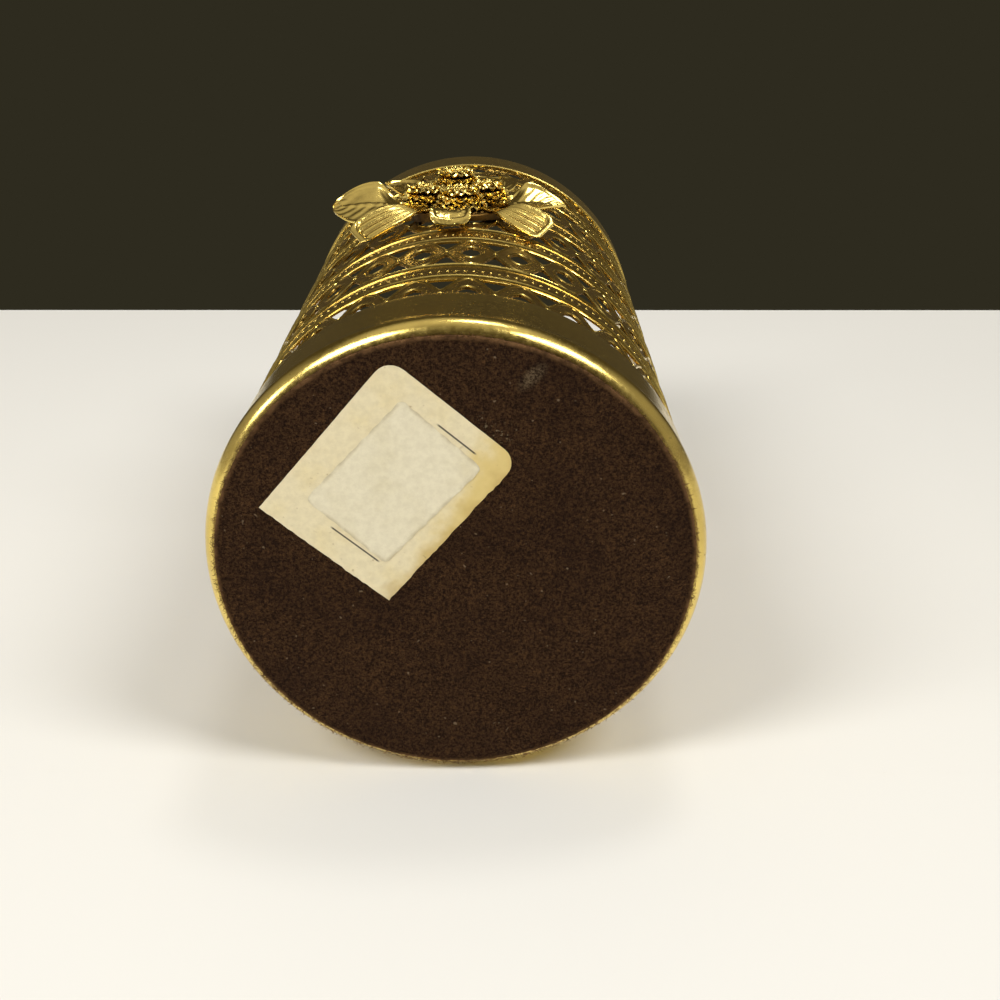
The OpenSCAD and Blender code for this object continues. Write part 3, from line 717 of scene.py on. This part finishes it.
def blade(name, node, at, turn, length, width, relief, form="pointed", fold=0, roll=0, lift=0, droop=0, arch=0,
          foot=foot_l):
    """A leaf on the pad, from two grids for its face and back, darkened by tarnish and painted shade in the recesses of
    its relief.
    """
    bm = bmesh.new()
    recess = bm.verts.layers.float.new("darkening")
    for thick in (0, 0.5):
        for v in bmesh.ops.create_grid(bm, x_segments=56, y_segments=28, size=1)["verts"]:
            x, t = length * (v.co.x + 1) / 2, v.co.y
            u = max(0, (x - foot) / (length - foot))
            half = half_width(u, width, form)
            z = soft(u, 0, 0.4) * half * (fold * abs(t) + roll * t)
            z += lift * u ** 1.5 - droop * u * u + 4 * arch * u * (1 - u)
            thin = (1 - 0.5 * soft(u, 0.6, 1)) * (1 - 0.35 * t ** 4)
            v.co = (x, half * t, z + leaf_t - 0.12 + relief(u, t) - thick * thin)
            # darker where the relief is low: tarnish and painted shade in its recesses
            v[recess] = 0.85 * (1 - soft(relief(u, t), -0.2, 0.06))
    bmesh.ops.bridge_loops(bm, edges=[e for e in bm.edges if e.is_boundary])
    bmesh.ops.recalc_face_normals(bm, faces=bm.faces)
    corner = [e for e in bm.edges if e.calc_face_angle(0) > 1]
    bmesh.ops.bevel(bm, geom=corner, offset=leaf_edge, segments=2, profile=0.5, affect="EDGES", clamp_overlap=True,
                    material=-1)
    bmesh.ops.transform(bm, matrix=on_pad(at, turn), verts=bm.verts)
    spray.append(piece(bm, name, cast_gilt, "gilt_brass", node, sharp=60))


blade("left_leaf", "leaf_left", (-0.8, -0.48), 173, 16.2, 9.0, veined, "broad", fold=0.06, roll=-0.48, droop=0.8,
      foot=0.63 * pitch)
blade("right_leaf", "leaf_right", (0.8, -0.27), 0, 12.6, 7.4, veined, fold=0.3, roll=0.3, droop=0.3,
      foot=0.33 * pitch)
blade("right_leaf_tip", "leaf_right_tip", (0.88, 0.42), -5, 12.6, 3.4, veined, fold=0.2, droop=1.4)
blade("top_left_leaf", "leaf_top_left", (-0.76, 0.4), 134, 12.0, 5.6, veined, fold=0.35, lift=0.8)
blade("top_right_leaf", "leaf_top_right", (0.88, 0.6), 84, 12.0, 5.6, veined, fold=0.35, lift=0.8)
blade("left_ribbed_leaf", "ribbed_leaf_left", (-0.56, -0.66), 213, 15.2, 5.2, ribbed, "blunt", roll=-0.3, droop=3.4)
blade("right_ribbed_leaf", "ribbed_leaf_right", (0.6, -0.66), -37, 13.4, 5.2, ribbed, "blunt", roll=0.36, droop=2.5)
blade("low_petal", "tag_petal", (-0.12, -0.88), 270, 9.6, 6.2, bordered, "blunt", fold=0.1, droop=0.8, arch=1.4)

# Blossoms
# Four cast brass blossoms: ruffled whorls of petals, one above the other round a solid calyx. Each is fixed by a pin
# through its middle, whose head is a cluster of beads.
blossom_w, petals, petal_t, whorl_hole = 7.0, 5, 0.3, 0.85
collar_r, pin_r, pin_head = 1.3, 0.8, 1.25
skirt_hole, skirt_w, skirt_step = 1.35, 7.4, 0.55


def whorl(bm, hole, width, base, rise, turn, ripple):
    """A ruffled ring of petals that rises, or falls, from its hole to its rim."""
    grid = bmesh.ops.create_grid(bm, x_segments=150, y_segments=7, size=1)["verts"]
    for v in grid:
        a, w = math.pi * (v.co.x + 1), (v.co.y + 1) / 2
        lobe = 1 - 0.3 * (1 - abs(math.cos(petals * a / 2)) ** 0.6)
        r = hole + (width / 2 * lobe - hole) * w
        crimp = 3 * petals * a + 3 * w + 2.2 * noise.noise(Vector((2 * math.cos(a), 2 * math.sin(a), base + turn)))
        swell = 1 + 0.8 * noise.noise(Vector((3 * math.cos(a), 3 * math.sin(a), turn)))
        wave = ripple * math.cos(crimp) * soft(w, 0.3, 0.8) * swell
        flat = Vector((r * math.cos(a + turn), r * math.sin(a + turn), 0))
        dent = 0.1 * noise.noise(flat * 1.3 + Vector((0, 0, base)))
        v.co = flat + Vector((0, 0, base + w * w * rise + wave + dent))
    bmesh.ops.remove_doubles(bm, verts=grid, dist=1e-4)


for key, (at, stem) in blossoms.items():
    bm = bmesh.new()
    whorl(bm, whorl_hole, 0.64 * blossom_w, stem + 0.85, 0.95, stem + math.radians(36), 0.16)
    whorl(bm, whorl_hole, blossom_w, stem + 0.6, 0.95, stem, 0.2)
    calyx = [(2.2, 0.8), (2.9, 0.9), (3.2, 0.9 + 0.5 * stem), (3.1, 0.5 + stem), (1.4, 0.5 + stem)]
    line = [bm.verts.new((r, 0, z)) for r, z in calyx]
    edges = [bm.edges.new(pair) for pair in zip(line, line[1:])]
    bmesh.ops.spin(bm, geom=line + edges, axis=(0, 0, 1), angle=math.tau, steps=40, use_merge=True)
    skirts = round((stem + 0.75) / skirt_step)
    for k in range(skirts):
        low = (stem + 0.1) * (1 - (k + 1) / skirts) + 0.75
        width = skirt_w + 2.0 * (k + 1) / skirts
        whorl(bm, skirt_hole, width, low + 0.2, -0.2, stem + math.radians(36 * k + 20), 0.2)
    bmesh.ops.recalc_face_normals(bm, faces=bm.faces)
    bmesh.ops.solidify(bm, geom=bm.faces[:], thickness=petal_t)
    bmesh.ops.recalc_face_normals(bm, faces=bm.faces)
    bmesh.ops.transform(bm, matrix=on_pad(at), verts=bm.verts)
    spray.append(piece(bm, "blossom_" + key + "_petals", cast_gilt, "gilt_brass", "blossom_" + key, sharp=70))

    top = stem + leaf_t
    pin_line = [(0, 0), (collar_r, 0), (collar_r, stem), (pin_r, stem), (pin_r, top)]
    pin = turned(pin_line + arc((0, top), pin_head, 0, 90, 10), 32)
    bmesh.ops.transform(pin, matrix=Matrix.Scale(1 / mm, 4), verts=pin.verts)
    for count, ring, up, size in ((8, 1.4, 0.6, 0.5), (5, 0.62, 1.02, 0.36)):
        for i in range(count):
            spot = Matrix.Rotation(math.tau * i / count, 4, "Z") @ Matrix.Translation((ring, 0, top + up))
            bmesh.ops.create_icosphere(pin, subdivisions=2, radius=size, matrix=spot)
    bmesh.ops.transform(pin, matrix=on_pad(at), verts=pin.verts)
    spray.append(piece(pin, "blossom_" + key + "_beads", cast_gilt, "gilt_brass", "blossom_centre_" + key, sharp=60))

# Painted shade of the spray and wall
# Each vertex on the spray's side of the cup is darkened by how much of the spray and wall closes round it within 4 mm:
# painted shade, with tarnish, in the hollows between petals, leaves and beads and on the wall under the spray.
skin = bmesh.new()
for obj in spray + [wall_piece]:
    skin.from_mesh(obj.data)
near = BVHTree.FromBMesh(skin)
skin.free()
ray_count, ray_start, ray_reach = 12, 0.05 * mm, 4 * mm
rays = []
for i in range(ray_count):
    side, a = math.sqrt((i + 0.5) / ray_count), i * golden_turn
    rays.append(Vector((side * math.cos(a), side * math.sin(a), math.sqrt(1 - side * side))))
for obj in spray + [wall_piece]:
    shut = [0] * len(obj.data.vertices)
    for v in obj.data.vertices:
        if v.co.y < -25 * mm:
            turn = v.normal.to_track_quat("Z", "Y")
            start = v.co + v.normal * ray_start
            met = [near.ray_cast(start, turn @ ray, ray_reach)[0] for ray in rays]
            # the share of blocked rays becomes painted shade in the colour
            shut[v.index] = sum(hit is not None for hit in met) / ray_count
    darkening = obj.data.attributes.get("darkening") or obj.data.attributes.new("darkening", "FLOAT", "POINT")
    darkening.data.foreach_set("value", [max(own.value, far) for own, far in zip(darkening.data, shut)])

# Stage
# The cup lies on its side on a plain pale table, below it in the picture, in front of a dark backdrop. A second pale
# floor carries it upright in the other views. Each floor shows only from the side that the cup is on.


def pale_floor(name, corners, lights):
    """A flat floor that only its own side shows, and that lights the cup or not."""
    mat = bpy.data.materials.new(name)
    mat.use_nodes = True
    tree = mat.node_tree
    shader = tree.nodes["Principled BSDF"]
    shader.inputs["Base Color"].default_value = linear(225, 224, 220)
    shader.inputs["Roughness"].default_value = 0.55
    mix = add(tree, "MixShader", [(0, add(tree, "NewGeometry").outputs["Backfacing"]), (1, shader.outputs[0]),
                                  (2, add(tree, "BsdfTransparent").outputs[0])])
    tree.links.new(mix.outputs[0], tree.nodes["Material Output"].inputs["Surface"])
    bm = bmesh.new()
    bm.faces.new([bm.verts.new(c) for c in corners])
    mesh = bpy.data.meshes.new(name)
    bm.to_mesh(mesh)
    bm.free()
    mesh.materials.append(mat)
    obj = bpy.data.objects.new(name, mesh)
    bpy.context.scene.collection.objects.link(obj)
    obj.visible_shadow = False
    obj.visible_diffuse = obj.visible_glossy = lights
    return obj


table_y, table_half, table_near, table_far = 0.03502, 0.7, -0.5, 0.237
pale_floor("table", [(-table_half, table_y, table_near), (table_half, table_y, table_near),
                     (table_half, table_y, table_far), (-table_half, table_y, table_far)], True)
floor_z, floor_half = -0.0001, 1.5
pale_floor("floor", [(x * floor_half, y * floor_half, floor_z) for x, y in ((-1, -1), (1, -1), (1, 1), (-1, 1))], False)

world = bpy.data.worlds.new("studio")
bpy.context.scene.world = world
world.use_nodes = True
tree = world.node_tree
way = add(tree, "SeparateXYZ", [(0, add(tree, "TexCoord").outputs["Generated"])]).outputs
backdrop = blend_colour(tree, spread(tree, way[2], 0.45, 0.8), linear(222, 219, 210), linear(46, 43, 31))
sides = spread(tree, math_node(tree, "ABSOLUTE", way[0]), 0.6, 0.95, 0, 0.3)
ceiling = spread(tree, math_node(tree, "ABSOLUTE", way[1]), 0.65, 0.95)
ceiling = math_node(tree, "MULTIPLY", ceiling, spread(tree, way[2], -0.5, 0.1, 0.1, 0.6))
room = blend_colour(tree, math_node(tree, "MAXIMUM", sides, ceiling), linear(75, 67, 49), linear(255, 248, 234))
seen = add(tree, "LightPath").outputs["Is Camera Ray"]
tree.links.new(blend_colour(tree, seen, room, backdrop), tree.nodes["Background"].inputs["Color"])


def softbox(name, place, aim, size, power):
    """A soft lamp of slightly warm light, turned to its aim."""
    lamp = bpy.data.lights.new(name, "AREA")
    lamp.shape, lamp.size, lamp.size_y = "ELLIPSE", *size
    lamp.energy, lamp.color = power, (1.0, 0.985, 0.955)
    obj = bpy.data.objects.new(name, lamp)
    obj.location = place
    obj.rotation_euler = (Vector(aim) - Vector(place)).to_track_quat("-Z", "Y").to_euler()
    bpy.context.scene.collection.objects.link(obj)
    return obj


softbox("lamp_side", (-0.9, -0.35, -0.35), (0, 0, 0), (0.24, 0.24), 1.4)
softbox("lamp_left", (-0.55, -0.75, -0.4), (0, 0, 0), (0.5, 0.35), 5.8)
softbox("lamp_right", (0.55, -0.8, -0.3), (0, 0, 0), (0.5, 0.35), 6.3)
softbox("lamp_ceiling", (0.12, -1.0, 0.3), (0, 0, 0.05), (0.25, 0.15), 1.5)
softbox("lamp_top", (-0.1, -0.3, 1.1), (0, 0, 0.05), (0.6, 0.6), 1.5).visible_glossy = False
softbox("lamp_back", (0.2, 0.9, 0.6), (0, 0, 0.06), (0.8, 0.6), 4)

# View
# The camera stands before the cup's foot and a little above the table, and looks along the cup. Its place and its
# angle of view are those of the photograph.
lens = bpy.data.cameras.new("view")
lens.lens, lens.sensor_width, lens.clip_start = 43.29, 36.0, 0.005
camera = bpy.data.objects.new("view", lens)
right = Vector((0.999999, 0.000188, 0.001315))
up = Vector((-0.000403, -0.9003, 0.435269))
look = Vector((-0.001266, 0.435269, 0.900299))
camera.matrix_world = Matrix((right, up, -look)).transposed().to_4x4()
camera.location = (0.00634, -0.08059, -0.14519)
bpy.context.scene.collection.objects.link(camera)
bpy.context.scene.camera = camera
bpy.context.scene.view_settings.view_transform = "Standard"
